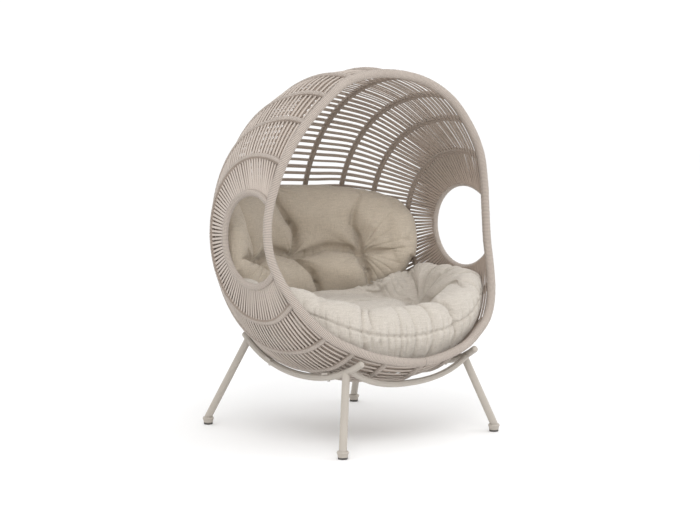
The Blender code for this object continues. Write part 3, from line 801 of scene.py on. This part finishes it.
# Two grids of directions from the eye: the outer one lies on the shell, and the inner one comes nearer by
# the pad's thickness less its valleys, both falling to nothing at the edge as the root of 1 - share ^ 4.5.
def makeBack():
    across = np.sin(np.linspace(-1, 1, 161) * math.pi / 2)[None, :]
    upward = np.sin(np.linspace(-1, 1, 101) * math.pi / 2)[:, None]
    azimuth = backPad["halfAngle"] * across
    power = backPad["topPower"]
    top = backPad["sideElevation"] + backPad["rise"] * (1 - np.abs(across) ** power) ** (1 / power)
    low = splitElevation(azimuth) + splitGap
    middle, half = (top + low) / 2, np.maximum((top - low) / 2, 0.8)
    a, e = azimuth + 0 * upward, middle + half * upward
    directions = directionsFrom(a, e)
    share = (1 - (1 - np.abs(across) ** 5) * (1 - np.abs(upward) ** 5)) ** 0.2
    outerDistance = wallDistance(directions, hollow["inset"]) - backPad["edgePull"] * share ** 8
    lobe = backPad["lobe"] * np.exp(-((upward + 0.55) / 0.3) ** 2)
    thick = backPad["thickness"] + backPad["lowerExtra"] * (1 - upward) / 2 + lobe
    body = thick * np.sqrt(np.clip(1 - share ** 4.5, 0, 1))
    innerDistance = outerDistance - np.maximum(body - backRelief(a, e) * (1 - share ** 8), 0.0)
    outer = eye + directions * outerDistance[..., None]
    inner = eye + directions * innerDistance[..., None]
    piece = padObject("backCushion", outer, inner, backLinen)
    shapePad(piece, backPad, 2, backPins)
    detail(piece, backFolds)
    place(piece, "back", ["back_cushion"])


# How firmly the cloth is held, which is hardest in the valleys.
def backPins(points):
    a, e = toAngles(points)[:2]
    return np.clip(backRelief(a, e) / 0.055, 0, 1) ** 2


# Little folds that run out from a button, uneven in width and length.
def fanFolds(a, e, centre, count, phase, reach):
    away = np.hypot(a - centre[0], e - centre[1])
    turn = np.arctan2(e - centre[1], a - centre[0])
    fold = -np.exp(-np.abs(np.sin(turn * count / 2 + phase + 0.7 * np.sin(turn * 3 + phase))) / 0.30)
    return fold * np.exp(-(away / reach) ** 1.6) * (1 - np.exp(-(away / 2.2) ** 2))


# A sharp line in each valley, folds round the buttons, and gathers along the edges.
def backFolds(points, normals):
    a, e, far = toAngles(points)
    front = np.clip(-np.sum(normals * (points - eye), axis=1) / far * 1.5, 0, 1)
    out = -0.50 * creaseDepth(*bent(a, e), backCreases, 0.9)
    out -= 0.12 * creaseDepth(*bent(a, e), backCreases, 2.4)
    for index, tuft in enumerate(backTufts):
        out += 0.0085 * fanFolds(a, e, tuft, 13, index * 1.3, 11.0)
        out -= 0.0100 * np.exp(-(np.hypot(a - tuft[0], e - tuft[1]) / 1.8) ** 2)
    for sign in (-1, 1):
        side = np.clip((a * sign - 46) / 8, 0, 1) * np.clip((78 - a * sign) / 8, 0, 1)
        out += 0.0120 * side * fanFolds(a * sign, e, (45, -18), 26, 0.4 + sign, 26.0)
    edge = np.clip((e - 6) / 12, 0, 1)
    slow = 60 * np.sin(np.radians(a * 5))
    out += 0.0055 * edge * -np.exp(-np.abs(np.sin(np.radians(a * 9 + slow))) / 0.3)
    low = np.clip((splitElevation(a) + 8 - e) / 8, 0, 1)
    out += 0.0050 * low * -np.exp(-np.abs(np.sin(np.radians(a * 13 + slow))) / 0.3)
    return out * front


# Remeshes a pad evenly, rounds it, inflates it and makes it finer.
def shapePad(piece, pad, rounding, pins):
    remesh(piece, padVoxel)
    smooth(piece, 0.5, rounding)
    puff(piece, pad["pressure"], pad["cap"], pins)
    subdivide(piece)


# Moves each point along its normal by its fold and by slow unevenness.
def detail(piece, folds):
    points, normals = getPoints(piece), getNormals(piece)
    x, y, z = points.T
    lump = np.sin(x * 31 + 2 * np.sin(z * 23)) * np.sin(y * 29 + z * 27)   # slow unevenness of the filling
    lift = folds(points, normals) + 0.0016 * lump
    setPoints(piece, points + normals * lift[:, None])


seatPad = {"turns": 180, "steps": 50, "perSpan": 7, "pressure": 4.0, "cap": 0.010, "fill": 0.75,
           "button": (0.345, -0.035), "seam": 0.42, "middleZ": 0.510, "innerZ": 0.512}
seatRise = {                                                 # by angle from the front, in degrees
    "angle": (0, 26, 40, 54, 62, 75, 90, 104, 115, 125, 140, 180),
    "crest": (0.530, 0.543, 0.572, 0.604, 0.626, 0.642, 0.643, 0.634, 0.590, 0.560, 0.530, 0.525),
    "valleyR": (0.250, 0.262, 0.290, 0.320, 0.335, 0.350, 0.350, 0.345, 0.320, 0.290, 0.240, 0.200),
    "valleyZ": (0.490, 0.490, 0.492, 0.494, 0.495, 0.495, 0.495, 0.498, 0.502, 0.506, 0.512, 0.516)}
rimRel = rimLoop(12)[(len(rim["half"]) // 2) * 12:(len(rim["half"]) - 1) * 12 + 1][::-1] - eye
rimAngle = np.degrees(np.arctan2(rimRel[:, 0], -rimRel[:, 1]))
rimTilt = np.degrees(np.arctan2(np.hypot(rimRel[:, 0], rimRel[:, 1]), -rimRel[:, 2]))


# Rises from 0 at low to 1 at high, as 3 t^2 - 2 t^3.
def blend(value, low, high):
    t = np.clip((value - low) / (high - low), 0, 1)
    return t * t * (3 - 2 * t)


# Angle in plan from the front of the chair, 0 to 180 degrees on either side.
def angleFromFront(x, y):
    return np.degrees(np.arctan2(np.abs(x), -y))


# Furthest tilt of the seat's underside from straight down: to the rim, or to the back cushion.
def seatTilt(angle):
    margin = 1.8 + 5.0 * np.exp(-((angle - 61) / 8) ** 2)
    atRim = np.where(angle < 80, np.interp(angle, rimAngle, rimTilt) - margin, 90)
    return np.minimum(atRim, 90 + splitElevation(180 - angle) - splitGap)


# One closed profile per direction: along the shell, up the front of the roll, over it and in.
def seatSection(turns, outerSteps, perSpan):
    turn = np.arange(turns) / turns * 2 * math.pi
    flat = np.stack((np.cos(turn), np.sin(turn)), axis=-1)
    angle = angleFromFront(flat[:, 0], flat[:, 1])
    tilt = seatTilt(angle)[:, None] * np.sin(np.linspace(0, 1, outerSteps) * math.pi / 2)[None, :]
    directions = directionsFrom(90 - np.degrees(turn)[:, None] + 0 * tilt, -90 + tilt)
    wall = wallDistance(directions, hollow["inset"])
    r, z = wall * np.sin(np.radians(tilt)), eye[2] - wall * np.cos(np.radians(tilt))
    lipR, lipZ = r[:, -1], z[:, -1]
    crestZ, valleyR, valleyZ = (np.interp(angle, seatRise["angle"], seatRise[key])
                                for key in ("crest", "valleyR", "valleyZ"))
    rear = blend(angle, 98, 114)
    bulge = 0.012 * (1 - blend(angle, 35, 55))
    coneR = (eye[2] - crestZ) * np.tan(np.radians(seatTilt(angle) - 1.0))
    crestR = (lipR - 0.072) * (1 - rear) + np.minimum(coneR, lipR - 0.02) * rear
    rise = crestZ - lipZ
    spots = [(lipR, lipZ),
             ((lipR + bulge) * (1 - rear) + (lipR + (crestR - lipR) * 0.45) * rear, lipZ + 0.42 * rise),
             ((lipR - 0.016) * (1 - rear) + (lipR + (crestR - lipR) * 0.85) * rear, lipZ + 0.84 * rise),
             (crestR, crestZ),
             (crestR * 0.55 + valleyR * 0.45, crestZ * 0.72 + valleyZ * 0.28 - 0.002),
             (valleyR, valleyZ), (valleyR * 0.72, valleyZ * 0.3 + seatPad["middleZ"] * 0.7),
             (valleyR * 0.36, 0 * angle + seatPad["innerZ"]), (0 * angle, 0 * angle + seatPad["middleZ"])]
    knots = np.array(spots).transpose(2, 0, 1)                 # direction, knot, (r, z)
    knots = np.concatenate((knots[:, :1], knots, knots[:, -1:]), axis=1)
    t = np.linspace(0, 1, perSpan, endpoint=False)[None, None, :, None]
    spans = (knots[:, k:knots.shape[1] - 3 + k, None, :] for k in range(4))
    curve = spanCurve(*spans, t).reshape(turns, -1, 2)
    curve = np.concatenate((np.stack((r[:, :-1], z[:, :-1]), axis=-1), curve, knots[:, -1:]), axis=1)
    x = eye[0] + curve[..., 0] * flat[:, None, 0]
    y = eye[1] + curve[..., 0] * flat[:, None, 1]
    return np.stack((x, y, curve[..., 1]), axis=-1)


# A closed pad from profiles set round its middle, which end at one point above and one below.
def closeSection(name, grid, mat):
    rows, columns = grid.shape[:2]
    return weld(newMesh(name, grid.reshape(-1, 3), gridFaces(rows, columns, True, False), mat))


seatCreases = (                                              # plan (x, y) start and end, depths
    ((0.345, -0.035), (0.545, -0.075), 0.034, 0.020), ((0.345, -0.035), (0.45, 0.09), 0.030, 0.020),
    ((0.345, -0.035), (0.50, -0.22), 0.026, 0.014), ((0.345, -0.035), (0.36, -0.34), 0.030, 0.012),
    ((0.345, -0.035), (0.17, -0.28), 0.030, 0.024), ((0.17, -0.28), (0.0, -0.305), 0.024, 0.022),
    ((0.345, -0.035), (0.16, -0.02), 0.028, 0.020), ((0.16, -0.02), (0.0, -0.03), 0.020, 0.020),
    ((0.345, -0.035), (0.27, 0.16), 0.026, 0.012), ((0.17, -0.28), (0.20, -0.45), 0.022, 0.022),
)


# Depth of the valleys that run out from the buttons, in plan.
def seatRelief(points, width):
    x, y = np.abs(points[..., 0]) + 0.012 * np.sin(points[..., 1] * 31), points[..., 1]
    return creaseDepth(x, y + 0.010 * np.sin(points[..., 0] * 23), seatCreases, width)


# The seat cushion, inflated and folded.
def makeSeat():
    piece = closeSection("seatCushion", seatGrid, seatLinen)
    shapePad(piece, seatPad, 4, seatPins)
    detail(piece, seatFolds)
    place(piece, "seat", ["seat_cushion"])


# How firmly the cloth is held, in the valleys of the upper side.
def seatPins(points):
    return np.clip(seatRelief(points, 0.02) / 0.03, 0, 1) ** 2 * (points[:, 2] > 0.42)


# Valleys round the buttons, gathers across the roll, and the stitched seam low on its front.
def seatFolds(points, normals):
    rel = points - eye
    angle = angleFromFront(rel[:, 0], rel[:, 1]) * np.sign(rel[:, 0] + 1e-9)
    upper = blend(normals[:, 2], -0.25, 0.35)
    out = -upper * (0.90 * seatRelief(points, 0.036) + 0.45 * seatRelief(points, 0.006))
    buttonX, buttonY = seatPad["button"]
    side, along = np.abs(points[:, 0]), points[:, 1]
    fan = fanFolds(side * 100, along * 100, (buttonX * 100, buttonY * 100), 22, 0.9, 24.0)
    out += 0.0085 * upper * fan * blend(np.hypot(side - buttonX, along - buttonY), 0.03, 0.10)
    ahead = 1 - blend(np.abs(angle), 75, 100)
    reach = np.hypot(rel[:, 0], rel[:, 1])
    lipR = np.interp(np.abs(angle), seatLip[0], seatLip[1])
    lipZ = np.interp(np.abs(angle), seatLip[0], seatLip[2])
    crestZ = np.interp(np.abs(angle), seatRise["angle"], seatRise["crest"])
    band = blend(reach, lipR - 0.17, lipR - 0.06)             # the roll itself
    uneven = angle * 11 + 46 * np.sin(np.radians(angle * 5)) + 25 * np.sin(np.radians(angle * 11 + 50))
    gather = -np.exp(-np.abs(np.sin(np.radians(uneven))) / 0.20)
    up = (points[:, 2] - lipZ) / np.maximum(crestZ - lipZ, 0.02)
    patchy = 0.6 + 0.8 * np.sin(np.radians(angle * 3.3 + 30)) ** 2
    out += 0.0140 * gather * band * ahead * patchy * blend(up, -0.6, 0.1)
    close = angle * 41 + 90 * np.sin(np.radians(angle * 5))
    fineGather = -np.exp(-np.abs(np.sin(np.radians(close))) / 0.35)
    facing = blend(np.sum(normals * rel, axis=1) / np.linalg.norm(rel, axis=1), 0.0, 0.5)
    nearSeam = np.exp(-((up - 0.36) / 0.32) ** 2)
    out += 0.0100 * fineGather * nearSeam * ahead * facing
    out -= 0.0090 * np.exp(-((up - seatPad["seam"]) / 0.032) ** 2) * facing * ahead
    return out


# Angle from the front, reach and height of the profiles' lips.
def lipTable(grid):
    lip = grid[:, seatPad["steps"] - 1]
    rel = lip - eye
    angle = angleFromFront(rel[:, 0], rel[:, 1])
    order = np.argsort(angle)
    return angle[order], np.hypot(rel[:, 0], rel[:, 1])[order], lip[order, 2]


seatGrid = seatSection(seatPad["turns"], seatPad["steps"], seatPad["perSpan"])
seatLip = lipTable(seatGrid)
makeBack()
makeSeat()
print("cushions done")


# A plain pale floor just under the feet.
def makeFloor():
    bpy.ops.mesh.primitive_plane_add(size=60, location=(0, 0, cadBox[0][2] - 0.0004))
    floor = bpy.context.object
    floor.name = "floor"
    floor.data.materials.append(newMaterial("floorPaint", (0.96, 0.96, 0.96), 0.9)[0])


# A round area light at a spot, turned towards a target.
def makeLight(name, spot, target, size, power):
    data = bpy.data.lights.new(name, "AREA")
    data.shape = "DISK"
    data.size = size
    data.energy = power
    lamp = bpy.data.objects.new(name, data)
    lamp.location = spot
    lamp.rotation_euler = (Vector(target) - Vector(spot)).to_track_quat("-Z", "Y").to_euler()
    bpy.context.scene.collection.objects.link(lamp)


def makeWorld():
    world = bpy.data.worlds.new("studio")
    world.use_nodes = True
    sky = world.node_tree.nodes["Background"].inputs
    sky["Color"].default_value = (1.0, 1.0, 1.0, 1)
    sky["Strength"].default_value = 1.06
    bpy.context.scene.world = world


view = {"lens": 84.14, "sensor": 36, "location": (-4.2309, -5.0355, 1.3314), "tilt": 84.25, "turn": -40.34}
lamps = {"key": {"spot": (-2.6, -3.2, 4.6), "power": 90}, "fill": {"spot": (3.6, -2.4, 2.8), "power": 30}}


# The camera at the view's place, tilted from straight down and turned about the vertical.
def makeCamera():
    data = bpy.data.cameras.new("camera")
    data.lens = view["lens"]
    data.sensor_width = view["sensor"]
    camera = bpy.data.objects.new("camera", data)
    camera.location = view["location"]
    camera.rotation_euler = (math.radians(view["tilt"]), 0, math.radians(view["turn"]))
    bpy.context.scene.collection.objects.link(camera)
    bpy.context.scene.camera = camera


makeFloor()
makeWorld()
for name, lamp in lamps.items():
    makeLight(name, lamp["spot"], (0, 0, 0.7), 3.0, lamp["power"])
makeCamera()
bpy.context.scene.view_settings.view_transform = "Standard"
print("floor, lights and camera done")
